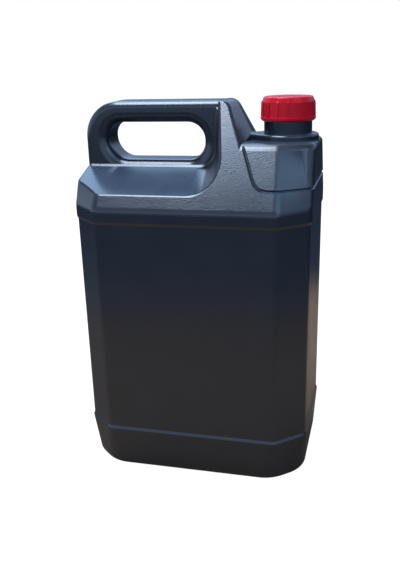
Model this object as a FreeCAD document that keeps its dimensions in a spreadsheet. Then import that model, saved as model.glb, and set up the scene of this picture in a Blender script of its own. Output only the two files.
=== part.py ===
import FreeCAD, Part
import math
import os
import Sketcher
from FreeCAD import Vector

# A five-litre blow-moulded jerrycan with a hollow grip over the shoulder, a raised
# tower with the threaded neck at one end, a screw cap and the cap's sealing disc.
# Millimetres. Origin: centre of the base, on the surface that the can stands on.
# X runs along the can towards the neck, Z is up, and the can is the same on both
# sides of the XZ plane.

SIZES = [
    # name, value, what it is
    ("can_length", 186.2, "end wall to end wall, at the shoulder"),
    ("can_depth", 134.0, "front wall to back wall"),
    ("wall", 1.3, "thickness of the blown wall"),
    ("corner_length", 23.0, "corner facet, measured along the length"),
    ("corner_depth", 21.0, "corner facet, measured along the depth"),
    ("corner_round", 8.0, "rounding of the upright corners"),
    ("end_taper", 0.9, "how far each end wall leans in from the shoulder to the base band"),
    ("base_height", 37.0, "height of the base band"),
    ("base_inset", 2.2, "how far the base band leans in at the floor"),
    ("base_corner_round", 32.0, "rounding of the corners at the floor"),
    ("base_round", 6.0, "rounding of the bottom edge"),
    ("panel_recess", 1.0, "depth of the label panel"),
    ("panel_step", 2.2, "height of the sloping step round the panel"),
    ("panel_margin", 11.5, "panel's top below the shoulder"),
    ("shoulder_height", 219.5, "where the upright walls end"),
    ("shoulder_round", 9.0, "rounding of the shoulder"),
    ("tower_height", 46.0, "neck tower, above the shoulder"),
    ("tower_corner_length", 27.6, "tower's corner facet, along the length"),
    ("tower_corner_depth", 4.6, "tower's corner facet, along the depth"),
    ("tower_corner_round", 13.0, "rounding of the tower's corners"),
    ("tower_round", 4.5, "rounding of the tower's top edge"),
    ("grip_height", 76.0, "top of the grip and of the column, above the shoulder"),
    ("grip_thickness", 32.0, "grip, front to back"),
    ("grip_rise", 26.0, "the roof where the grip stands on it, above the shoulder"),
    ("grip_corner", 27.5, "outer corner of the grip"),
    ("grip_round", 5.0, "rounding of the grip's outer edges"),
    ("grip_bar", 16.3, "grip's upper bar, top to hand hole"),
    ("grip_post", 18.4, "grip's outer post, end wall to hand hole"),
    ("hole_sill", 4.8, "hand hole's lower side above the roof"),
    ("hole_margin", 8.6, "hand hole's inner end to the column's foot"),
    ("hole_round", 14.0, "corners of the hand hole beside the column"),
    ("hole_low_round", 16.5, "hand hole's outer lower corner"),
    ("hole_high_round", 11.5, "hand hole's outer upper corner"),
    ("hole_roll", 8.0, "rolled edge of the hand hole"),
    ("roof_draft", 19.2, "slope of the roof and of the column's side, degrees"),
    ("roof_round", 13.0, "corner between the roof and the column at the grip"),
    ("foot_out", 1.35, "how far the grip's sloping foot reaches out from its sides"),
    ("foot_draft", 50.0, "slope of that foot, degrees"),
    ("foot_end", 3.0, "from the end wall to the foot's end"),
    ("rim_round", 2.6, "rounding of the edges that the roof and the column's near side end in"),
    ("column_lip", 1.65, "how far the column's top stands out beyond the grip"),
    ("column_width", 9.8, "column's top at the grip, along the length"),
    ("column_spread", 4.6, "how far the column's near side widens down to the roof"),
    ("column_slope", 15.2, "how far its far side widens down to the tower"),
    ("column_draft", 7.5, "taper of the column's far side from the mid-plane, degrees"),
    ("column_end_round", 9.0, "rounding of the column's top corner"),
    ("column_edge_round", 3.0, "rounding of the column's front and back edges"),
    ("groove_depth", 1.6, "depth of the moulded groove beside the column, to where its sides would meet"),
    ("groove_round", 0.6, "rounding of the groove's bottom"),
    ("groove_near_slope", 50.0, "groove's side towards the column, from square to the wall, degrees"),
    ("groove_far_slope", 28.0, "its other side, degrees"),
    ("groove_edge", 0.0, "groove's bottom line from the column's end, at the grip's top"),
    ("groove_knee", 15.2, "from the neck's axis to where its two runs would meet"),
    ("groove_knee_round", 12.0, "bend between the groove's two runs"),
    ("groove_rise", 15.2, "level run of the groove above the shoulder"),
    ("neck_inset", 24.5, "neck's axis from the end wall"),
    ("neck_gap", 40.6, "neck's axis from the column's end at the grip's top"),
    ("boss_radius", 23.6, "raised boss round the neck"),
    ("boss_height", 4.5, "height of the boss above the tower"),
    ("boss_round", 1.8, "rounding of the boss's edge"),
    ("tongue_length", 24.6, "neck's axis to the centre of the boss's tongue end"),
    ("tongue_round", 9.0, "radius of the tongue's end"),
    ("collar_radius", 18.4, "plain lower part of the neck"),
    ("collar_height", 9.0, "height of that part above the boss"),
    ("neck_radius", 17.4, "neck under the cap, without its thread"),
    ("neck_bore", 16.2, "radius of the bore"),
    ("neck_height", 24.4, "sealing rim of the neck above the boss"),
    ("thread_lead", 4.5, "lower end of the neck's thread above the collar"),
    ("thread_pitch", 5.0, "rise of the thread in one turn"),
    ("thread_depth", 1.2, "height of the thread's ridge"),
    ("thread_crest", 1.0, "width of the ridge at its crest"),
    ("thread_foot", 2.2, "width of the ridge at its foot"),
    ("thread_turns", 1.5, "turns of each thread"),
    ("thread_clearance", 0.4, "gap between each ridge and the wall that it faces"),
    ("cap_height", 18.0, "screw cap, rim to top"),
    ("cap_top_wall", 1.8, "thickness of the cap's top"),
    ("cap_wall", 1.5, "thickness of the cap's skirt at its lower end"),
    ("cap_narrowing", 0.5, "how much the skirt narrows towards the top"),
    ("cap_band", 0.6, "how far the band at the rim stands out"),
    ("cap_band_height", 3.2, "height of that band"),
    ("cap_chamfer", 1.5, "chamfer under the band"),
    ("cap_bevel", 1.4, "how far the cap's sloping shoulder leans in"),
    ("cap_bevel_height", 3.9, "height of that shoulder"),
    ("cap_round", 1.4, "rounding of the cap's top edge"),
    ("rib_count", 16, "grip ribs round the cap"),
    ("rib_height", 0.55, "how far a rib stands out"),
    ("rib_width", 1.3, "width of a rib"),
    ("rib_turn", 7.0, "angle of the first rib, degrees"),
    ("liner_thickness", 1.2, "sealing disc"),
    ("liner_gap", 0.3, "gap between the disc and the cap's thread"),
]

# Places that follow from those sizes. Heights are above the floor, and distances
# along the can are from its middle.
PLACES = {
    "panel_top": "shoulder_height - panel_margin",
    "tower_top": "shoulder_height + tower_height",
    "grip_top": "shoulder_height + grip_height",
    "grip_foot": "shoulder_height + grip_rise",
    "hole_bottom": "grip_foot + hole_sill",
    "hole_top": "grip_top - grip_bar",
    "hole_left": "0 - can_length / 2 + grip_post",
    # the hand hole's corners keep clear of each other where the hole is low
    "hole_near_fit": "min(1; (hole_top - hole_bottom) * 0.97 / (2 * hole_round))",
    "hole_far_fit": "min(1; (hole_top - hole_bottom) * 0.97 / (hole_low_round + hole_high_round))",
    "hole_right": "column_foot - hole_margin",
    "neck_x": "can_length / 2 - neck_inset",
    "column_end": "neck_x - neck_gap",
    "column_end_foot": "column_end + column_slope",
    "column_head": "column_end - column_width",
    "column_foot": "column_head - column_spread",
    "column_lean": "atan(column_spread / (grip_top + roof_round - grip_foot))",
    "groove_height": "shoulder_height + groove_rise",
    "groove_head": "column_end - groove_edge",
    "groove_bend": "neck_x - groove_knee",
    "groove_start": "groove_bend + groove_knee_round",
    "tongue_x": "neck_x - tongue_length",
    "boss_top": "tower_top + boss_height",
    "collar_top": "boss_top + collar_height",
    "neck_top": "boss_top + neck_height",
    "cap_rise": "neck_top + liner_thickness + cap_top_wall - cap_height",
    "thread_start": "collar_top + thread_lead",
    "shoulder_foot": "shoulder_height - shoulder_round * tan(lean / 2)",
    "shoulder_top": "shoulder_foot + shoulder_round * sin(lean)",
    # lean of the front and back above the shoulder, from the wall in to the column's top
    "lean": "atan((can_depth / 2 - grip_thickness / 2 - column_lip) / grip_height)",
}


def make_sheet(doc):
    sheet = doc.addObject("Spreadsheet::Sheet", "Sizes")
    for row, (alias, value, note) in enumerate(SIZES, start=1):
        sheet.set(f"A{row}", str(value))
        sheet.setAlias(f"A{row}", alias)
        sheet.set(f"B{row}", note)
    doc.recompute()
    return sheet


def sized(text):
    """Write out each place, and the sheet's name before each alias, in an expression."""
    words = []
    word = ""
    for letter in text + " ":
        if letter.isalnum() or letter == "_":
            word += letter
            continue
        if word in PLACES:
            words.append("(" + sized(PLACES[word]) + ")")
        else:
            words.append("Sizes." + word if word in ALIASES else word)
        words.append(letter)
        word = ""
    return "".join(words).strip()


ALIASES = {alias for alias, value, note in SIZES}


def bind(thing, path, text):
    thing.setExpression(path, sized(text))


def value_of(thing, text):
    return float(getattr(thing.evalExpression(sized(text)), "Value",
                         thing.evalExpression(sized(text))))


def origin_plane(body, role):
    return next(part for part in body.Origin.OriginFeatures if part.Role == role)


def new_sketch(body, name, role, out="0", along="0", up="0"):
    """A sketch on an origin plane, moved out along its normal and within it."""
    sketch = body.newObject("Sketcher::SketchObject", name)
    sketch.AttachmentSupport = [(origin_plane(body, role), "")]
    sketch.MapMode = "FlatFace"
    for axis, text in (("x", along), ("y", up), ("z", out)):
        if text != "0":
            bind(sketch, "AttachmentOffset.Base." + axis, text)
    return sketch


def set_size(sketch, constraint, text):
    number = sketch.addConstraint(constraint)
    bind(sketch, f"Constraints[{number}]", text)


def place_point(sketch, geometry, position, across, up):
    """Hold a point at two distances from the sketch's origin."""
    for kind, text in (("DistanceX", across), ("DistanceY", up)):
        distance = value_of(sketch, text)
        set_size(sketch, Sketcher.Constraint(kind, -1, 1, geometry, position, distance), text)


def draw_outline(sketch, corners):
    """A closed outline of straight sides; each corner is (x, y) or (x, y, radius)."""
    count = len(corners)
    spots = [Vector(value_of(sketch, corner[0]), value_of(sketch, corner[1]), 0)
             for corner in corners]
    radii = [value_of(sketch, corner[2]) if len(corner) > 2 else 0.0 for corner in corners]
    trims = []
    for index, spot in enumerate(spots):
        before = (spots[index - 1] - spot).normalize()
        after = (spots[(index + 1) % count] - spot).normalize()
        half_turn = before.getAngle(after) / 2
        trims.append((before, after, half_turn))

    def tangent_point(index, side):
        before, after, half_turn = trims[index]
        towards = before if side == "before" else after
        return spots[index] + towards * (radii[index] / math.tan(half_turn))

    lines = []
    for index in range(count):
        start = tangent_point(index, "after")
        end = tangent_point((index + 1) % count, "before")
        lines.append(sketch.addGeometry(Part.LineSegment(start, end), False))
    for index, corner in enumerate(corners):
        incoming = lines[index - 1]
        outgoing = lines[index]
        if len(corner) == 2:
            sketch.addConstraint(Sketcher.Constraint("Coincident", incoming, 2, outgoing, 1))
            place_point(sketch, outgoing, 1, corner[0], corner[1])
            continue
        before, after, half_turn = trims[index]
        start = tangent_point(index, "before")
        end = tangent_point(index, "after")
        middle = arc_middle(spots[index], before, after, half_turn, radii[index])
        arc = sketch.addGeometry(Part.Arc(start, middle, end), False)
        flipped = (sketch.getPoint(arc, 1) - start).Length > 1e-6
        first, last = (2, 1) if flipped else (1, 2)
        apex = sketch.addGeometry(Part.Point(spots[index]), True)
        place_point(sketch, apex, 1, corner[0], corner[1])
        sketch.addConstraint(Sketcher.Constraint("PointOnObject", apex, 1, incoming))
        sketch.addConstraint(Sketcher.Constraint("PointOnObject", apex, 1, outgoing))
        sketch.addConstraint(Sketcher.Constraint("Tangent", incoming, 2, arc, first))
        sketch.addConstraint(Sketcher.Constraint("Tangent", outgoing, 1, arc, last))
        set_size(sketch, Sketcher.Constraint("Radius", arc, radii[index]), corner[2])


def arc_middle(corner, before, after, half_turn, radius):
    inward = (before + after).normalize()
    return corner + inward * (radius / math.sin(half_turn) - radius)


def draw_circle(sketch, radius):
    size = value_of(sketch, radius)
    circle = sketch.addGeometry(Part.Circle(Vector(), Vector(0, 0, 1), size), False)
    sketch.addConstraint(Sketcher.Constraint("Coincident", circle, 3, -1, 1))
    set_size(sketch, Sketcher.Constraint("Radius", circle, size), radius)
    doc.recompute()


def draw_path(sketch, points):
    """An open path: start, one rounded bend (x, y, radius), end."""
    start, bend, end = (Vector(value_of(sketch, point[0]), value_of(sketch, point[1]), 0)
                        for point in points)
    radius = value_of(sketch, points[1][2])
    before = (start - bend).normalize()
    after = (end - bend).normalize()
    half_turn = before.getAngle(after) / 2
    first = bend + before * (radius / math.tan(half_turn))
    last = bend + after * (radius / math.tan(half_turn))
    middle = arc_middle(bend, before, after, half_turn, radius)
    incoming = sketch.addGeometry(Part.LineSegment(start, first), False)
    arc = sketch.addGeometry(Part.Arc(first, middle, last), False)
    outgoing = sketch.addGeometry(Part.LineSegment(last, end), False)
    flipped = (sketch.getPoint(arc, 1) - first).Length > 1e-6
    near, far = (2, 1) if flipped else (1, 2)
    apex = sketch.addGeometry(Part.Point(bend), True)
    place_point(sketch, incoming, 1, points[0][0], points[0][1])
    place_point(sketch, apex, 1, points[1][0], points[1][1])
    place_point(sketch, outgoing, 2, points[2][0], points[2][1])
    sketch.addConstraint(Sketcher.Constraint("PointOnObject", apex, 1, incoming))
    sketch.addConstraint(Sketcher.Constraint("PointOnObject", apex, 1, outgoing))
    sketch.addConstraint(Sketcher.Constraint("Tangent", incoming, 2, arc, near))
    sketch.addConstraint(Sketcher.Constraint("Tangent", outgoing, 1, arc, far))
    set_size(sketch, Sketcher.Constraint("Radius", arc, radius), points[1][2])
    doc.recompute()


def sweep(body, name, ring, path):
    """Cut a ring's tube along a path."""
    pipe = body.newObject("PartDesign::SubtractivePipe", name)
    pipe.Profile = ring
    pipe.Spine = (path, [])
    doc.recompute()


def draw_teardrop(sketch, large_x, large_radius, small_x, small_radius):
    """The outline round two circles on the mid-plane; the smaller lies towards -X."""
    far, wide, near, narrow = (value_of(sketch, text)
                               for text in (large_x, large_radius, small_x, small_radius))
    lean = math.asin((wide - narrow) / (far - near))
    tilt = Vector(-math.sin(lean), math.cos(lean), 0)
    down = Vector(tilt.x, -tilt.y, 0)
    large = Vector(far, 0, 0)
    small = Vector(near, 0, 0)
    big = sketch.addGeometry(Part.Arc(large + down * wide, large + Vector(wide, 0, 0),
                                      large + tilt * wide), False)
    upper = sketch.addGeometry(Part.LineSegment(large + tilt * wide, small + tilt * narrow), False)
    end = sketch.addGeometry(Part.Arc(small + tilt * narrow, small - Vector(narrow, 0, 0),
                                      small + down * narrow), False)
    lower = sketch.addGeometry(Part.LineSegment(small + down * narrow, large + down * wide), False)
    for line, first, second in ((upper, big, end), (lower, end, big)):
        sketch.addConstraint(Sketcher.Constraint("Tangent", first, 2, line, 1))
        sketch.addConstraint(Sketcher.Constraint("Tangent", line, 2, second, 1))
    place_point(sketch, big, 3, large_x, "0")
    place_point(sketch, end, 3, small_x, "0")
    set_size(sketch, Sketcher.Constraint("Radius", big, wide), large_radius)
    set_size(sketch, Sketcher.Constraint("Radius", end, narrow), small_radius)
    doc.recompute()


def draw_section(sketch, section, radius):
    """An eight-sided ring; its corners are arcs about four pairs of centres."""
    near_x, near_y, far_x, far_y = section
    places = [(near_x, "0 - (" + near_y + ")"), (far_x, "0 - (" + far_y + ")"),
              (far_x, far_y), (near_x, near_y),
              ("0 - (" + near_x + ")", near_y), ("0 - (" + far_x + ")", far_y),
              ("0 - (" + far_x + ")", "0 - (" + far_y + ")"),
              ("0 - (" + near_x + ")", "0 - (" + near_y + ")")]
    centres = [Vector(value_of(sketch, x), value_of(sketch, y), 0) for x, y in places]
    count = len(centres)
    size = value_of(sketch, radius)
    outward = []
    for index, centre in enumerate(centres):
        along = (centres[(index + 1) % count] - centre).normalize()
        outward.append(Vector(along.y, -along.x, 0) * size)
    arcs = []
    lines = []
    for index, centre in enumerate(centres):
        middle = (outward[index - 1] + outward[index]).normalize() * size
        arcs.append(sketch.addGeometry(Part.Arc(centre + outward[index - 1], centre + middle,
                                                centre + outward[index]), False))
        following = centres[(index + 1) % count]
        lines.append(sketch.addGeometry(Part.LineSegment(centre + outward[index],
                                                         following + outward[index]), False))
    for index in range(count):
        sketch.addConstraint(Sketcher.Constraint("Tangent", arcs[index], 2, lines[index], 1))
        sketch.addConstraint(Sketcher.Constraint("Tangent", lines[index - 1], 2, arcs[index], 1))
        place_point(sketch, arcs[index], 3, places[index][0], places[index][1])
    set_size(sketch, Sketcher.Constraint("Radius", arcs[0], size), radius)
    for arc in arcs[1:]:
        sketch.addConstraint(Sketcher.Constraint("Equal", arcs[0], arc))


def draw_half_section(sketch, section, radius, start):
    """The +X half of such a ring as an open path, from one long side to the other."""
    near_x, near_y, far_x, far_y = section
    places = [(near_x, "0 - " + near_y), (far_x, "0 - " + far_y), (far_x, far_y), (near_x, near_y)]
    centres = [Vector(value_of(sketch, x), value_of(sketch, y), 0) for x, y in places]
    size = value_of(sketch, radius)
    ways = [Vector(1, 0, 0)]
    for one, other in zip(centres, centres[1:]):
        ways.append((other - one).normalize())
    ways.append(Vector(-1, 0, 0))
    outward = [Vector(way.y, -way.x, 0) * size for way in ways]
    first = Vector(value_of(sketch, start), centres[0].y - size, 0)
    arcs = []
    lines = [sketch.addGeometry(Part.LineSegment(first, centres[0] + outward[0]), False)]
    for index, centre in enumerate(centres):
        middle = (outward[index] + outward[index + 1]).normalize() * size
        end = centre + outward[index + 1]
        arcs.append(sketch.addGeometry(Part.Arc(centre + outward[index], centre + middle, end), False))
        if index < 3:
            following = centres[index + 1] + outward[index + 1]
        else:
            following = Vector(first.x, end.y, 0)
        lines.append(sketch.addGeometry(Part.LineSegment(end, following), False))
    for index, arc in enumerate(arcs):
        sketch.addConstraint(Sketcher.Constraint("Tangent", lines[index], 2, arc, 1))
        sketch.addConstraint(Sketcher.Constraint("Tangent", arc, 2, lines[index + 1], 1))
        place_point(sketch, arc, 3, places[index][0], places[index][1])
    set_size(sketch, Sketcher.Constraint("Radius", arcs[0], size), radius)
    for arc in arcs[1:]:
        sketch.addConstraint(Sketcher.Constraint("Equal", arcs[0], arc))
    for line, end in ((lines[0], 1), (lines[-1], 2)):
        sketch.addConstraint(Sketcher.Constraint("Horizontal", line))
        set_size(sketch, Sketcher.Constraint("DistanceX", -1, 1, line, end, first.x), start)
    doc.recompute()


SHOULDER_STEPS = 4  # narrow bands that the rounded shoulder is made of
TOP_STEPS = 5  # and those of the tower's top edge
SHARP = 25  # degrees; the roof's own faces meet at less than this

# Centres of the corner arcs. A facet of length a and depth b turns the wall by
# atan(b / a) at its near corner and by the rest of 90 degrees at its far one.
BODY_TURN = "atan(corner_depth / corner_length)"
TOWER_TURN = "atan(tower_corner_depth / tower_corner_length)"


def section_centres(end, depth, facet_length, facet_depth, turn, radius):
    return (f"{end} - {facet_length} - {radius} * tan({turn} / 2)",
            f"{depth} - {radius}",
            f"{end} - {radius}",
            f"{depth} - {facet_depth} - {radius} * tan(45deg - {turn} / 2)")


def wall_section(height):
    """The ring of the upright walls, whose ends lean in towards the base band."""
    share = f"(shoulder_height - ({height})) / (shoulder_height - base_height)"
    return section_centres(f"can_length / 2 - end_taper * {share}", "can_depth / 2",
                           "corner_length", "corner_depth", BODY_TURN, "corner_round")


def depth_at(height):
    return f"can_depth / 2 - ({height} - shoulder_height) * tan(lean)"


FLOOR = section_centres("can_length / 2 - end_taper - base_inset", "can_depth / 2 - base_inset",
                        "corner_length", "corner_depth", BODY_TURN, "base_corner_round")
TOWER = section_centres("can_length / 2", "(" + depth_at("tower_top") + ")", "tower_corner_length",
                        "tower_corner_depth", TOWER_TURN, "tower_corner_round")


def leaning_section(share):
    """A ring between the shoulder and the tower's top, at this share of the way in."""
    return [f"({low} + ({high} - ({low})) * {share})"
            for low, high in zip(wall_section("shoulder_height"), TOWER)]


def leaning_radius(share):
    return f"(corner_round + (tower_corner_round - corner_round) * {share})"


def round_edges(body, name, is_wanted, radius):
    """Round the edges of the body's last feature that pass the given test."""
    names = [f"Edge{number}" for number, edge in enumerate(body.Shape.Edges, start=1)
             if is_wanted(edge)]
    base = body.Tip
    fillet = body.newObject("PartDesign::Fillet", name)
    fillet.Base = (base, names)
    bind(fillet, "Radius", radius)
    doc.recompute()


def lies_at(edge, height):
    """True for an edge that lies in the level plane at this height."""
    heights = [vertex.Z for vertex in edge.Vertexes] + [edge.CenterOfMass.z]
    return all(abs(z - height) < 0.01 for z in heights)


def turning_at(shape, edge):
    """Angle between the two faces that meet at an edge's middle, in degrees."""
    first, last = edge.ParameterRange
    point = edge.valueAt((first + last) / 2)
    normals = []
    for face in shape.ancestorsOfType(edge, Part.Face):
        across, along = face.Surface.parameter(point)
        normals.append(face.normalAt(across, along))
    return math.degrees(normals[0].getAngle(normals[1]))


def extrude(body, kind, name, sketch, length, taper="0", both_ways=True, backwards=False):
    """A Pad or a Pocket of a sketch."""
    feature = body.newObject("PartDesign::" + kind, name)
    feature.Profile = sketch
    feature.Midplane = both_ways
    feature.Reversed = backwards
    bind(feature, "Length", length)
    if taper != "0":
        bind(feature, "TaperAngle", taper)
    doc.recompute()
    return feature


def combine(body, name, other, kind):
    """Fuse another body with this one, or cut it away."""
    boolean = body.newObject("PartDesign::Boolean", name)
    boolean.Type = kind
    boolean.setObjects([other])
    doc.recompute()


def make_walls(doc, name, inset):
    """The can from the floor to the tower's top, before anything is cut from it."""
    body = doc.addObject("PartDesign::Body", name)
    rings = [("floor", inset, FLOOR, "base_corner_round")]
    for ring, height, radius in (("band", "base_height - panel_step", "corner_round"),
                                 ("panel_low", "base_height", "corner_round - panel_recess"),
                                 ("panel_high", "panel_top", "corner_round - panel_recess"),
                                 ("rim", "panel_top + panel_step", "corner_round")):
        rings.append((ring, height, wall_section(height), radius))
    for step in range(SHOULDER_STEPS + 1):
        turn = f"(lean * {step} / {SHOULDER_STEPS})"
        share = f"(shoulder_round * (1 - cos({turn})) / (tower_height * tan(lean)))"
        rings.append((f"shoulder_{step}", f"shoulder_foot + shoulder_round * sin({turn})",
                      leaning_section(share), leaning_radius(share)))
    for step in range(TOP_STEPS + 1):
        turn = f"({90 * step / TOP_STEPS} * 1deg)"
        rounding = f"(tower_round - {inset})"
        height = f"tower_top - {inset} - {rounding} * (1 - sin({turn}))"
        share = f"(({height} - shoulder_height) / tower_height)"
        rings.append((f"tower_{step}", height, leaning_section(share),
                      f"{leaning_radius(share)} - {rounding} * (1 - cos({turn}))"))
    sketches = []
    for ring, height, section, radius in rings:
        sketch = new_sketch(body, f"{name}_{ring}", "XY_Plane", out=height)
        draw_section(sketch, section, f"{radius} - {inset}")
        sketches.append(sketch)
    doc.recompute()
    sketches.reverse()
    loft = body.newObject("PartDesign::AdditiveLoft", name + "_loft")
    loft.Profile = sketches[0]
    loft.Sections = sketches[1:]
    loft.Ruled = True
    doc.recompute()
    floor = value_of(body, inset)
    round_edges(body, name + "_floor_edge", lambda edge: lies_at(edge, floor),
                f"base_round - {inset}")
    return body


def make_column(doc, name, inset):
    """The column between the grip and the neck, leaning front and back like the walls."""
    body = doc.addObject("PartDesign::Body", name)
    foot = "shoulder_top"
    top = f"grip_top - {inset}"

    def half_depth(height):
        return f"can_depth / 2 - ({height} - shoulder_height) * tan(lean) - {inset} / cos(lean)"

    ends = new_sketch(body, name + "_section", "YZ_Plane")
    draw_outline(ends, [(f"0 - ({half_depth(foot)})", foot), (half_depth(foot), foot),
                        (half_depth("(" + top + ")"), top),
                        (f"0 - ({half_depth('(' + top + ')')})", top)])
    doc.recompute()
    extrude(body, "Pad", name + "_block", ends, "column_end_foot * 2 + can_depth / 2")
    slope = "atan((column_end_foot - column_end) / (grip_top - tower_top))"
    shift = f"({inset} * tan({slope}) - {inset} / cos({slope}))"
    run = f"(tan({slope}) * (grip_top - shoulder_height) + column_end + {shift})"
    for side, turn in (("front", "0 - column_draft"), ("back", "column_draft")):
        sides = new_sketch(body, f"{name}_{side}_end_outline", "XZ_Plane")
        sides.AttachmentOffset = FreeCAD.Placement(Vector(), FreeCAD.Rotation(Vector(0, 1, 0), 1))
        bind(sides, "AttachmentOffset.Rotation.Angle", turn)
        narrow = "cos(column_draft * 1deg)"
        draw_outline(sides, [("0 - can_depth", top),
                             (f"(column_end + {shift}) * {narrow}", top,
                              f"column_end_round - {inset}"),
                             (f"{run} * {narrow}", "shoulder_height - 1"),
                             ("can_length", "shoulder_height - 1"),
                             ("can_length", "grip_top + can_depth"),
                             ("0 - can_depth", "grip_top + can_depth")])
        doc.recompute()
        extrude(body, "Pocket", f"{name}_{side}_end", sides, "can_depth * 2")
    near = new_sketch(body, name + "_near_outline", "XZ_Plane")
    draw_outline(near, [("0 - can_length", "shoulder_height - 1"),
                        ("column_foot / 2", "shoulder_height - 1"),
                        ("column_foot / 2", "grip_top + 1"),
                        ("0 - can_length", "grip_top + 1")])
    doc.recompute()
    extrude(body, "Pocket", name + "_near", near, "can_depth * 2")

    def on_leaning_edge(edge):
        depths = [abs(vertex.Y) - value_of(body, half_depth(str(vertex.Z))) for vertex in edge.Vertexes]
        centre = edge.CenterOfMass
        return (all(abs(depth) < 0.01 for depth in depths)
                and centre.x > value_of(body, "column_foot / 2") + 0.01
                and centre.z > value_of(body, foot) + 0.01)

    round_edges(body, name + "_edge", on_leaning_edge, "column_edge_round")
    return body


def near_side(shift, height):
    """Where the column's near side meets the grip, moved towards the column by shift."""
    return f"(column_foot + {shift} / cos(column_lean) + ({height} - grip_foot) * tan(column_lean))"


def cut_sides(body, name, inset):
    """Above the sloping roof nothing is left beside the column but the grip."""
    drop = f"({inset} / cos(roof_draft * 1deg) - {inset} * tan(roof_draft * 1deg))"
    floor = f"(grip_foot - {drop})"
    outline = [("0 - can_length", floor),
               (near_side(drop, floor), floor, f"roof_round + {inset}"),
               (near_side(drop, "(grip_top + roof_round)"), "grip_top + roof_round"),
               ("0 - can_length", "grip_top + roof_round")]
    half = f"grip_thickness / 2 - {inset}"
    for side, out in (("front", half), ("back", f"0 - ({half})")):
        sketch = new_sketch(body, f"{name}_{side}_outline", "XZ_Plane", out=out)
        draw_outline(sketch, outline)
        doc.recompute()
        extrude(body, "Pocket", f"{name}_{side}", sketch, "can_depth / 2", taper="roof_draft",
                both_ways=False, backwards=side == "front")
    sketch = new_sketch(body, name + "_middle_outline", "XZ_Plane")
    draw_outline(sketch, outline)
    doc.recompute()
    extrude(body, "Pocket", name + "_middle", sketch, f"grip_thickness - 2 * {inset}")


def round_rim(body, name):
    """Round the edges that the roof and the column's near side end in."""
    shape = body.Shape
    low, high, end = (value_of(body, text) for text in (
        "shoulder_top", "grip_top - column_edge_round", "column_end"))

    def on_rim(edge):
        centre = edge.CenterOfMass
        return low < centre.z < high and centre.x < end and turning_at(shape, edge) > SHARP

    round_edges(body, name + "_rim_edge", on_rim, "rim_round")


def add_foot(body, name):
    """The sloping foot on which the grip stands on the roof and against the column."""
    rise = "(foot_out * (tan(foot_draft * 1deg) - tan(roof_draft * 1deg)))"
    top = f"(grip_foot + {rise})"
    end = "0 - can_length / 2 + foot_end"
    outline = [(end, top),
               (near_side(f"(0 - {rise})", top), top, f"roof_round - {rise}"),
               (near_side(f"(0 - {rise})", "(grip_top - grip_round)"), "grip_top - grip_round"),
               ("column_head + column_width / 2", "grip_top - grip_round"),
               ("column_head + column_width / 2", "grip_foot - column_width / 2"),
               (end, "grip_foot - column_width / 2")]
    middle = new_sketch(body, name + "_middle_outline", "XZ_Plane")
    draw_outline(middle, outline)
    doc.recompute()
    extrude(body, "Pad", name + "_middle", middle, "grip_thickness")
    for side, out in (("front", "grip_thickness / 2"), ("back", "0 - grip_thickness / 2")):
        sketch = new_sketch(body, f"{name}_{side}_outline", "XZ_Plane", out=out)
        draw_outline(sketch, outline)
        doc.recompute()
        extrude(body, "Pad", f"{name}_{side}", sketch, "foot_out * 1.2", taper="0 - foot_draft",
                both_ways=False, backwards=side == "back")


def make_grip(doc, name, inset):
    """The hollow grip as a block of its own, deep enough to reach into roof and column."""
    body = doc.addObject("PartDesign::Body", name)
    left = f"0 - can_length / 2 + {inset}"
    top = f"grip_top - {inset}"
    outer = new_sketch(body, name + "_outline", "XZ_Plane")
    draw_outline(outer, [(left, "shoulder_height + 15"), ("column_end - 5", "shoulder_height + 15"),
                         ("column_end - 5", top), (left, top, f"grip_corner - {inset}")])
    doc.recompute()
    extrude(body, "Pad", name + "_block", outer, f"grip_thickness - 2 * {inset}")
    hole = new_sketch(body, name + "_hole_outline", "XZ_Plane")
    draw_outline(hole, [
        (f"hole_left - {inset}", f"hole_bottom - {inset}", f"hole_low_round * hole_far_fit + {inset}"),
        (f"hole_right + {inset}", f"hole_bottom - {inset}", f"hole_round * hole_near_fit + {inset}"),
        (f"hole_right + {inset}", f"hole_top + {inset}", f"hole_round * hole_near_fit + {inset}"),
        (f"hole_left - {inset}", f"hole_top + {inset}", f"hole_high_round * hole_far_fit + {inset}")])
    doc.recompute()
    extrude(body, "Pocket", name + "_hole", hole, "grip_thickness * 2")
    half = value_of(body, f"grip_thickness / 2 - {inset}")
    left_x, top_z, corner = (value_of(body, text) for text in (left, top, "grip_corner"))
    low_x, high_x, low_z, high_z = (value_of(body, text) for text in (
        f"hole_left - {inset} - 0.01", f"hole_right + {inset} + 0.01",
        f"hole_bottom - {inset} - 0.01", f"hole_top + {inset} + 0.01"))

    def on_face(edge):
        depths = [abs(vertex.Y) for vertex in edge.Vertexes] + [abs(edge.CenterOfMass.y)]
        return all(abs(depth - half) < 0.01 for depth in depths)

    def round_hole(edge):
        centre = edge.CenterOfMass
        return on_face(edge) and low_x < centre.x < high_x and low_z < centre.z < high_z

    def round_rim(edge):
        centre = edge.CenterOfMass
        along_top = abs(centre.z - top_z) < 0.01
        along_end = abs(centre.x - left_x) < 0.01
        on_corner = centre.x < left_x + corner and centre.z > top_z - corner
        return on_face(edge) and not round_hole(edge) and (along_top or along_end or on_corner)

    round_edges(body, name + "_roll", round_hole, f"hole_roll - {inset}")
    round_edges(body, name + "_rim", round_rim, f"grip_round - {inset}")
    if inset == OUTSIDE:
        add_foot(body, name + "_foot")
    return body


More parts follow.
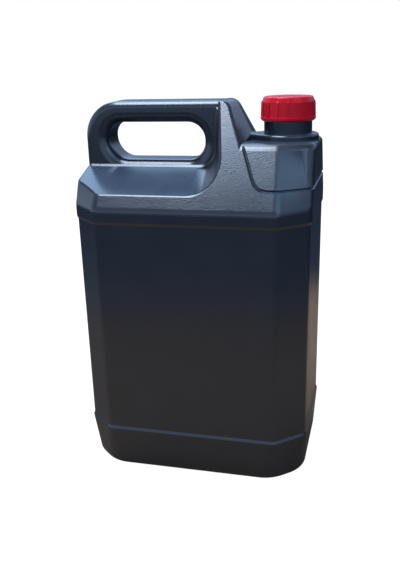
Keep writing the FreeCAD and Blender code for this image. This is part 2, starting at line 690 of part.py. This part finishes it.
def draw_notch(sketch, inset, inwards):
    """The groove's V across the leaning wall, its bottom towards +Y where inwards is 1."""
    sides = [(f"groove_{side}_slope * 1deg", turn) for side, turn in (("near", -1), ("far", 1))]
    # the inset moves each side by its own thickness, and the bottom to where they then meet
    spread = f"sin({sides[0][0]} + {sides[1][0]})"
    deeper = f"{inset} * (cos({sides[0][0]}) + cos({sides[1][0]})) / {spread}"
    aside = f"{inset} * (sin({sides[0][0]}) - sin({sides[1][0]})) / {spread}"
    bottom = f"(groove_depth + {deeper})"
    height = f"({bottom} + groove_depth)"
    corners = [("(0 - groove_depth)", f"({aside} + {turn} * {height} * tan({angle}))")
               for angle, turn in sides]
    corners.insert(1, (bottom, f"({aside})", f"groove_round + {inset}"))
    draw_outline(sketch, [
        (f"{inwards} * ({corner[0]} * cos(lean) + {corner[1]} * sin(lean))",
         f"{corner[1]} * cos(lean) - {corner[0]} * sin(lean)", *corner[2:]) for corner in corners])
    doc.recompute()


def cut_grooves(body, name, inset):
    """The moulded groove: down beside the column's end, then level round the tower."""
    level = f"((groove_height - shoulder_height) / cos(lean))"
    head = "((grip_top - shoulder_height) / cos(lean))"
    beyond = "groove_head - (groove_bend - groove_head) / 6"
    above = f"({head} + ({head} - {level}) / 6)"
    depth = depth_at("groove_height")
    for side, out, turn in (("front", "can_depth / 2", "-1 * lean"),
                            ("back", "0 - can_depth / 2", "lean")):
        path = new_sketch(body, f"{name}_{side}_path", "XZ_Plane", out=out, up="shoulder_height")
        offset = path.AttachmentOffset
        path.AttachmentOffset = FreeCAD.Placement(offset.Base, FreeCAD.Rotation(Vector(1, 0, 0), 1))
        bind(path, "AttachmentOffset.Rotation.Angle", turn)
        draw_path(path, [(beyond, above), ("groove_bend", level, "groove_knee_round"),
                         ("groove_start", level)])
        ring = new_sketch(body, f"{name}_{side}_ring", "YZ_Plane", out="groove_start",
                          along=depth if side == "back" else f"0 - ({depth})", up="groove_height")
        draw_notch(ring, inset, -1 if side == "back" else 1)
        sweep(body, f"{name}_{side}", ring, path)
    share = "((groove_height - shoulder_height) / tower_height)"
    path = new_sketch(body, name + "_level_path", "XY_Plane", out="groove_height")
    draw_half_section(path, leaning_section(share), leaning_radius(share), "groove_start")
    ring = new_sketch(body, name + "_level_ring", "YZ_Plane", out="groove_start",
                      along=f"0 - ({depth})", up="groove_height")
    draw_notch(ring, inset, 1)
    sweep(body, name + "_level", ring, path)


OUTSIDE = "0"  # the inset of the outer surface


def make_skin(doc, name, inset):
    """The can's closed outside, or with an inset the surface that far inside it."""
    body = make_walls(doc, name, inset)
    combine(body, name + "_with_column", make_column(doc, name + "_column", inset), "Fuse")
    cut_sides(body, name, inset)
    if inset == OUTSIDE:
        round_rim(body, name)
    combine(body, name + "_with_grip", make_grip(doc, name + "_grip", inset), "Fuse")
    cut_grooves(body, name + "_groove", inset)
    return body


def add_boss(body):
    """The raised boss round the neck, with a tongue that runs under the column's foot."""
    outline = new_sketch(body, "boss_outline", "XY_Plane", out="tower_top - tower_round")
    draw_teardrop(outline, "neck_x", "boss_radius", "tongue_x", "tongue_round")
    extrude(body, "Pad", "boss", outline, "boss_height + tower_round", both_ways=False)
    top = value_of(body, "boss_top")
    round_edges(body, "boss_edge", lambda edge: lies_at(edge, top), "boss_round")


def add_neck(body):
    """The neck's collar and its thinner threaded part."""
    collar = new_sketch(body, "collar_outline", "XY_Plane", out="tower_top - wall / 2", along="neck_x")
    draw_circle(collar, "collar_radius")
    extrude(body, "Pad", "collar", collar, "collar_top - tower_top + wall / 2", both_ways=False)
    neck = new_sketch(body, "neck_outline", "XY_Plane", out="tower_top - wall / 2", along="neck_x")
    draw_circle(neck, "neck_radius")
    extrude(body, "Pad", "neck", neck, "neck_top - tower_top + wall / 2", both_ways=False)
    add_thread(body, "neck_thread", "neck_radius", "thread_start", 1, along="neck_x")


def add_thread(body, name, foot, start, outwards, along="0"):
    """A single ridge that climbs the wall of the given radius, outwards or inwards."""
    profile = new_sketch(body, name + "_profile", "XZ_Plane", along=along)
    sign = "+" if outwards > 0 else "-"
    other = "-" if outwards > 0 else "+"
    root = f"{foot} {other} thread_depth / 4"
    crest = f"{foot} {sign} thread_depth"
    draw_outline(profile, [(root, f"{start} - thread_foot / 2"), (crest, f"{start} - thread_crest / 2"),
                           (crest, f"{start} + thread_crest / 2"), (root, f"{start} + thread_foot / 2")])
    doc.recompute()
    thread = body.newObject("PartDesign::AdditiveHelix", name)
    thread.Profile = profile
    thread.ReferenceAxis = (profile, ["V_Axis"])
    thread.Mode = "pitch-turns-angle"
    bind(thread, "Pitch", "thread_pitch")
    bind(thread, "Turns", "thread_turns")
    doc.recompute()


def make_can(doc):
    body = make_skin(doc, "can_outside", OUTSIDE)
    add_boss(body)
    combine(body, "hollow", make_skin(doc, "can_inside", "wall"), "Cut")
    add_neck(body)
    bore = new_sketch(body, "bore_outline", "XY_Plane", out="neck_top", along="neck_x")
    draw_circle(bore, "neck_bore")
    extrude(body, "Pocket", "bore", bore, "neck_top - tower_top + 2 * wall", both_ways=False)
    body.Label = "can_body"
    return body


def make_cap(doc):
    """The screw cap, modelled on its own axis with its rim at zero."""
    body = doc.addObject("PartDesign::Body", "cap")
    inside = "(neck_radius + thread_depth + thread_clearance)"
    low = f"({inside} + cap_wall)"
    high = f"({low} - cap_narrowing)"
    bevel_foot = "cap_height - cap_bevel_height"
    under_top = "(cap_height - cap_top_wall)"
    profile = new_sketch(body, "cap_profile", "XZ_Plane")
    draw_outline(profile, [
        (inside, "0"), (f"{low} + cap_band - cap_chamfer", "0"),
        (f"{low} + cap_band", "cap_chamfer"), (f"{low} + cap_band", "cap_band_height - cap_band / 2"),
        (low, "cap_band_height"), (high, bevel_foot), (f"{high} - cap_bevel", "cap_height", "cap_round"),
        ("0", "cap_height"), ("0", under_top), (f"{inside} - cap_bevel", under_top),
        (inside, f"{under_top} - cap_bevel * 2")])
    doc.recompute()
    turned = body.newObject("PartDesign::Revolution", "cap_shell")
    turned.Profile = profile
    turned.ReferenceAxis = (profile, ["V_Axis"])
    doc.recompute()
    rib = new_sketch(body, "rib_profile", "XZ_Plane")
    rib.AttachmentOffset = FreeCAD.Placement(Vector(), FreeCAD.Rotation(Vector(0, 1, 0), 1))
    bind(rib, "AttachmentOffset.Rotation.Angle", "rib_turn")
    draw_outline(rib, [(f"{high} - cap_wall / 2", "cap_band_height / 2"),
                       (f"{low} + rib_height", "cap_band_height / 2"),
                       (f"{high} + rib_height", bevel_foot, "cap_round"),
                       (f"{high} - cap_wall / 2", f"{bevel_foot} + cap_wall")])
    doc.recompute()
    extrude(body, "Pad", "rib", rib, "rib_width")
    pattern = body.newObject("PartDesign::PolarPattern", "ribs")
    pattern.Originals = [body.getObject("rib")]
    pattern.Axis = (profile, ["V_Axis"])
    pattern.Angle = 360
    bind(pattern, "Occurrences", "rib_count")
    body.Tip = pattern
    doc.recompute()
    add_thread(body, "cap_thread", inside, "(thread_start + thread_pitch / 2 - cap_rise)", -1)
    body.Label = "screw_cap"
    return body


def make_liner(doc):
    body = doc.addObject("PartDesign::Body", "liner")
    disc = new_sketch(body, "liner_outline", "XY_Plane")
    draw_circle(disc, "neck_radius + thread_clearance - liner_gap")
    extrude(body, "Pad", "liner_disc", disc, "liner_thickness", both_ways=False)
    body.Label = "cap_liner"
    return body


doc = FreeCAD.newDocument("Jerrycan")
sheet = make_sheet(doc)
can = make_can(doc)
cap = make_cap(doc)
liner = make_liner(doc)
for piece, height in ((cap, "cap_rise"), (liner, "neck_top")):
    bind(piece, "Placement.Base.x", "neck_x")
    bind(piece, "Placement.Base.z", height)
doc.recompute()
pieces = [can, cap, liner]
for thing in doc.Objects:
    if "Invalid" in thing.State or "Error" in thing.State:
        raise RuntimeError(f"{thing.Label} failed: {thing.State}")
for piece in pieces:
    if piece.Shape.isNull() or not piece.Shape.isValid():
        raise RuntimeError(f"{piece.Label} has no valid shape")
os.makedirs("parts", exist_ok=True)
for piece in pieces:
    piece.Shape.exportStep(f"parts/{piece.Label}.step")
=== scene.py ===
import bpy
import math
from mathutils import Matrix, Vector

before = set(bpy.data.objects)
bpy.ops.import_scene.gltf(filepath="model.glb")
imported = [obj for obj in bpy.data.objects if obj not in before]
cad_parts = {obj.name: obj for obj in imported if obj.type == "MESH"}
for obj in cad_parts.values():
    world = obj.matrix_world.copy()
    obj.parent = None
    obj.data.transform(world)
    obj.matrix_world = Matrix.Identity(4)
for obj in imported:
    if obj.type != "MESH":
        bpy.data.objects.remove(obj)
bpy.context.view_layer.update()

MM = 0.001

# height of the can's shoulder, above which the leaning walls have leather grain
SHOULDER = 219.5 * MM


# ---------------------------------------------------------------- camera

# turns of the camera in radians, its place in metres, its lens and sensor in millimetres
YAW = 0.259
PITCH = 0.316
ROLL = -0.0284
EYE = Vector((0.143431, -0.560699, 0.331675))
LENS = 45.205
SENSOR = 36


def make_camera():
    """In front of the can, a little to its right and above it."""
    back = Vector((math.sin(YAW) * math.cos(PITCH),
                   -math.cos(YAW) * math.cos(PITCH),
                   math.sin(PITCH)))
    level = Vector((math.cos(YAW), math.sin(YAW), 0))
    upright = back.cross(level)
    right = math.cos(ROLL) * level + math.sin(ROLL) * upright
    up = -math.sin(ROLL) * level + math.cos(ROLL) * upright
    data = bpy.data.cameras.new("camera")
    data.sensor_fit = "VERTICAL"
    data.sensor_height = SENSOR
    data.lens = LENS
    camera = bpy.data.objects.new("camera", data)
    bpy.context.scene.collection.objects.link(camera)
    camera.matrix_world = Matrix.Translation(EYE) @ Matrix((right, up, back)).transposed().to_4x4()
    bpy.context.scene.camera = camera


# ---------------------------------------------------------------- shader helpers

class Graph:
    """A short way to write a material's or the world's nodes."""

    def __init__(self, tree):
        self.nodes = tree.nodes
        self.links = tree.links

    def connect(self, value, socket):
        if isinstance(value, bpy.types.NodeSocket):
            self.links.new(value, socket)
        else:
            socket.default_value = value

    def add(self, kind, inputs=(), **settings):
        node = self.nodes.new("ShaderNode" + kind)
        for key, value in settings.items():
            setattr(node, key, value)
        for socket, value in dict(inputs).items():
            self.connect(value, node.inputs[socket])
        return node

    def math(self, operation, first, second):
        return self.add("Math", {0: first, 1: second}, operation=operation).outputs[0]

    def ramp(self, value, low, high, at_low=0.0, at_high=1.0):
        """A smooth step from one value to another."""
        node = self.add("MapRange", {"Value": value, "From Min": low, "From Max": high,
                                     "To Min": at_low, "To Max": at_high},
                        interpolation_type="SMOOTHSTEP")
        return node.outputs["Result"]

    def mix(self, factor, first, second):
        """A blend of two colours; 0, 6 and 7 are the factor's and the two colours' sockets."""
        node = self.add("Mix", data_type="RGBA")
        self.connect(factor, node.inputs[0])
        self.connect(first, node.inputs[6])
        self.connect(second, node.inputs[7])
        return node.outputs[2]

    def noise(self, vector, scale, detail, roughness):
        node = self.add("TexNoise", {"Vector": vector, "Scale": scale, "Detail": detail,
                                     "Roughness": roughness})
        return node.outputs["Fac"]

    def stretched(self, vector, scale):
        node = self.add("Mapping", {"Vector": vector, "Scale": scale})
        return node.outputs["Vector"]


def new_material(name):
    material = bpy.data.materials.new(name)
    material.use_nodes = True
    graph = Graph(material.node_tree)
    return material, graph, graph.nodes["Principled BSDF"]


# ---------------------------------------------------------------- plastics

# black polyethylene: its two tones, a painted bluish sheen of the light from above on what faces
# up, and the specks in it
BLACK = ((0.0085, 0.0105, 0.0155, 1), (0.0115, 0.0140, 0.0205, 1))
# painted highlight: a blue-grey that stands in for the light from above on faces that look up
PAINTED_TOP_SHEEN = (0.030, 0.047, 0.075, 1)
SPECK = (0.020, 0.022, 0.026, 1)
SPECK_SHARE = 0.6
SMOOTHEST, ROUGHEST, GRAIN_ROUGHENS = 0.19, 0.24, 0.02
GRAIN_DEPTH = 0.20 * MM
STREAK_DEPTH = 0.12 * MM

# how many cells or waves there are to a metre
GRAIN_CELLS = 850.0
GRAIN_NOISE = 1200.0
STREAKS_ALONG, STREAKS_ACROSS = 9.0, 320.0
HAZE_WAVES = 34.0
SPECK_WAVES = 260.0

# red polypropylene and the liner's foam
RED = ((0.46, 0.006, 0.014, 1), (0.56, 0.010, 0.024, 1))
FOAM = ((0.78, 0.78, 0.74, 1), (0.88, 0.88, 0.85, 1))
CAP_CLOUDS = 90.0
CAP_RIPPLES = 420.0
FOAM_CELLS = 2600.0
FINE_DEPTH = 0.1 * MM


def can_plastic():
    """Blue-black polyethylene: leather grain above the shoulder, flow streaks down the walls."""
    material, graph, shader = new_material("blown_black_plastic")
    place = graph.add("TexCoord").outputs["Object"]
    height = graph.add("SeparateXYZ", {0: place}).outputs["Z"]
    facing = graph.add("NewGeometry").outputs["Normal"]
    rise = graph.add("SeparateXYZ", {0: facing}).outputs["Z"]

    # the mould is grained only where a face above the shoulder leans, neither upright nor level
    leaning = graph.math("MULTIPLY", graph.ramp(rise, 0.25, 0.42),
                         graph.ramp(rise, 0.68, 0.80, 1.0, 0.0))
    above = graph.ramp(height, SHOULDER - 3 * MM, SHOULDER + 1 * MM)
    grained = graph.math("MULTIPLY", leaning, above)

    cells = graph.add("TexVoronoi", {"Vector": place, "Scale": GRAIN_CELLS, "Randomness": 1.0},
                      feature="SMOOTH_F1").outputs["Distance"]
    pebbles = graph.math("ADD", cells, graph.noise(place, GRAIN_NOISE, 3.0, 0.6))
    grain = graph.math("MULTIPLY", pebbles, grained)
    streaks_size = (STREAKS_ACROSS, STREAKS_ACROSS, STREAKS_ALONG)
    flow = graph.noise(graph.stretched(place, streaks_size), 1.0, 4.0, 0.65)
    wall = graph.math("SUBTRACT", 1.0, above)
    streaks = graph.math("MULTIPLY", flow, wall)
    haze = graph.noise(place, HAZE_WAVES, 4.0, 0.6)

    coarse = graph.add("Bump", {"Strength": 0.30, "Distance": GRAIN_DEPTH, "Height": grain})
    fine = graph.add("Bump", {"Strength": 0.10, "Distance": STREAK_DEPTH, "Height": streaks,
                              "Normal": coarse.outputs[0]})
    graph.connect(fine.outputs[0], shader.inputs["Normal"])

    specks = graph.ramp(graph.noise(place, SPECK_WAVES, 1.0, 0.4), 0.74, 0.80)
    tone = graph.mix(haze, *BLACK)
    # painted sheen: faces that look up are lightened towards a blue, as if lit from above
    tone = graph.mix(graph.ramp(rise, 0.88, 0.94), tone, PAINTED_TOP_SHEEN)
    tone = graph.mix(graph.math("MULTIPLY", specks, SPECK_SHARE), tone, SPECK)
    graph.connect(tone, shader.inputs["Base Color"])
    rough = graph.ramp(haze, 0.30, 0.70, SMOOTHEST, ROUGHEST)
    rough = graph.math("ADD", rough, graph.math("MULTIPLY", grained, GRAIN_ROUGHENS))
    graph.connect(rough, shader.inputs["Roughness"])
    shader.inputs["IOR"].default_value = 1.6
    shader.inputs["Specular IOR Level"].default_value = 0.6
    shader.inputs["Specular Tint"].default_value = (0.78, 0.88, 1.0, 1)
    return material


def cap_plastic():
    """Glossy red polypropylene with a soft glow under its surface."""
    material, graph, shader = new_material("moulded_red_plastic")
    place = graph.add("TexCoord").outputs["Object"]
    cloud = graph.noise(place, CAP_CLOUDS, 3.0, 0.55)
    graph.connect(graph.mix(cloud, *RED), shader.inputs["Base Color"])
    graph.connect(graph.ramp(cloud, 0.3, 0.7, 0.20, 0.30), shader.inputs["Roughness"])
    ripple = graph.noise(place, CAP_RIPPLES, 2.0, 0.5)
    bump = graph.add("Bump", {"Strength": 0.06, "Distance": FINE_DEPTH, "Height": ripple})
    graph.connect(bump.outputs[0], shader.inputs["Normal"])
    shader.inputs["Specular IOR Level"].default_value = 0.35
    shader.inputs["Specular Tint"].default_value = (1.0, 0.30, 0.34, 1)
    shader.inputs["Subsurface Weight"].default_value = 0.35
    shader.inputs["Subsurface Radius"].default_value = (1.0, 0.15, 0.1)
    shader.inputs["Subsurface Scale"].default_value = 1.5 * MM
    return material


def liner_foam():
    """White foam with fine closed cells."""
    material, graph, shader = new_material("white_sealing_foam")
    place = graph.add("TexCoord").outputs["Object"]
    cells = graph.add("TexVoronoi", {"Vector": place, "Scale": FOAM_CELLS}).outputs["Distance"]
    graph.connect(graph.mix(cells, *FOAM), shader.inputs["Base Color"])
    bump = graph.add("Bump", {"Strength": 0.25, "Distance": FINE_DEPTH, "Height": cells})
    graph.connect(bump.outputs[0], shader.inputs["Normal"])
    shader.inputs["Roughness"].default_value = 0.65
    return material


# ---------------------------------------------------------------- studio

FLOOR_HALF = 4.0
WHITE = (1, 1, 1, 1)
PALE_GREY = (0.8, 0.8, 0.8, 1)

# the floor by its place round the can, as the can's walls reflect it
FLOOR_FRONT = (0.32, 0.21, 0.12, 1)
FLOOR_LEFT = (0.15, 0.11, 0.08, 1)
FLOOR_RIGHT = (0.26, 0.17, 0.11, 1)
FAR_FRONT = (0.115, 0.13, 0.15, 1)
FAR_BEHIND = (0.022, 0.028, 0.043, 1)

# the room round the can
ROOM_AHEAD = Vector((-0.5, -0.86, 0))
ROOM_FRONT = (0.72, 0.88, 1.18, 1)
ROOM_BEHIND_LOW = (0.05, 0.07, 0.11, 1)
ROOM_BEHIND_HIGH = (0.58, 0.76, 1.15, 1)
ROOM_TOP = (0.24, 0.30, 0.42, 1)

# each lamp's way from the can, distance, width and depth, brightness and colour
LAMPS_AIM = Vector((0, 0, 0.22))
LAMPS = {
    "overhead": ((-0.27, -0.10, 0.96), 1.55, (0.62, 1.35), 14.0, (0.84, 0.90, 1.0)),
    "back_top": ((-0.33, 0.66, 0.68), 1.5, (0.9, 0.8), 2.6, (0.50, 0.74, 1.0)),
    "right_top": ((0.60, -0.46, 0.66), 1.5, (1.0, 0.8), 1.9, (0.45, 0.72, 1.0)),
    "front_top": ((0.0, -0.51, 0.86), 1.5, (0.85, 0.30), 1.2, (0.55, 0.75, 1.0)),
}


def make_floor():
    """A floor, white to camera rays alone; to all others a warm table, darker further off."""
    corners = [(-FLOOR_HALF, -FLOOR_HALF, 0), (FLOOR_HALF, -FLOOR_HALF, 0),
               (FLOOR_HALF, FLOOR_HALF, 0), (-FLOOR_HALF, FLOOR_HALF, 0)]
    mesh = bpy.data.meshes.new("floor")
    mesh.from_pydata(corners, [], [(0, 1, 2, 3)])
    floor = bpy.data.objects.new("floor", mesh)
    bpy.context.scene.collection.objects.link(floor)

    material, graph, shader = new_material("pale_floor")
    place = graph.add("TexCoord").outputs["Object"]
    away = graph.add("VectorMath", {0: place}, operation="LENGTH").outputs["Value"]
    across, depth, _ = graph.add("SeparateXYZ", {0: place}).outputs
    beside = graph.mix(graph.ramp(across, -0.1, 0.1), FLOOR_LEFT, FLOOR_RIGHT)
    near = graph.mix(graph.ramp(depth, -0.10, -0.04), FLOOR_FRONT, beside)
    far = graph.mix(graph.ramp(depth, -0.2, 0.5), FAR_FRONT, FAR_BEHIND)
    colour = graph.mix(graph.ramp(away, 0.36, 0.58), near, far)
    seen = graph.add("LightPath").outputs["Is Camera Ray"]
    graph.connect(graph.mix(seen, colour, PALE_GREY), shader.inputs["Base Color"])
    shader.inputs["Roughness"].default_value = 0.9
    shader.inputs["Specular IOR Level"].default_value = 0.1

    # the camera sees almost only this white, which is bright enough to hide the can's shadow
    white = graph.add("Emission", {"Color": WHITE, "Strength": 1.15})
    shown = graph.add("MixShader", {0: graph.math("MULTIPLY", seen, 0.85)})
    graph.connect(shader.outputs[0], shown.inputs[1])
    graph.connect(white.outputs[0], shown.inputs[2])
    graph.connect(shown.outputs[0], graph.nodes["Material Output"].inputs["Surface"])
    mesh.materials.append(material)


def make_world():
    """White to camera rays alone; to all others a cool room, darkest low down at the back."""
    world = bpy.data.worlds.new("studio")
    bpy.context.scene.world = world
    world.use_nodes = True
    graph = Graph(world.node_tree)
    background = graph.nodes["Background"]
    way = graph.add("TexCoord").outputs["Generated"]
    up = graph.add("SeparateXYZ", {0: way}).outputs["Z"]
    ahead = graph.add("VectorMath", {0: way, 1: ROOM_AHEAD}, operation="DOT_PRODUCT")
    behind = graph.mix(graph.ramp(up, 0.05, 0.25), ROOM_BEHIND_LOW, ROOM_BEHIND_HIGH)
    walls = graph.mix(graph.ramp(ahead.outputs["Value"], -0.8, 0.5), behind, ROOM_FRONT)
    room = graph.mix(graph.ramp(up, 0.2, 0.7), walls, ROOM_TOP)
    seen = graph.add("LightPath").outputs["Is Camera Ray"]
    graph.connect(graph.mix(seen, room, WHITE), background.inputs["Color"])
    background.inputs["Strength"].default_value = 1.0


def add_softbox(name, way, distance, size, strength, colour):
    """A rectangular lamp that faces the can, as bright all over as strength says."""
    way = Vector(way).normalized()
    side = Vector((0, 1, 0)).cross(way).normalized()
    data = bpy.data.lights.new(name, "AREA")
    data.shape = "RECTANGLE"
    data.size, data.size_y = size
    data.energy = math.pi * size[0] * size[1] * strength
    data.color = colour
    light = bpy.data.objects.new(name, data)
    turned = Matrix((side, way.cross(side), way)).transposed().to_4x4()
    light.matrix_world = Matrix.Translation(LAMPS_AIM + distance * way) @ turned
    bpy.context.scene.collection.objects.link(light)


def make_lights():
    for name, settings in LAMPS.items():
        add_softbox(name, *settings)


# ---------------------------------------------------------------- the scene

def dress():
    """Give each solid its own finish."""
    finishes = {"can_body": can_plastic(), "screw_cap": cap_plastic(), "cap_liner": liner_foam()}
    for node, material in finishes.items():
        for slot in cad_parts[node].material_slots:
            slot.material = material


bpy.context.scene.view_settings.view_transform = "Standard"
make_camera()
dress()
make_floor()
make_world()
make_lights()
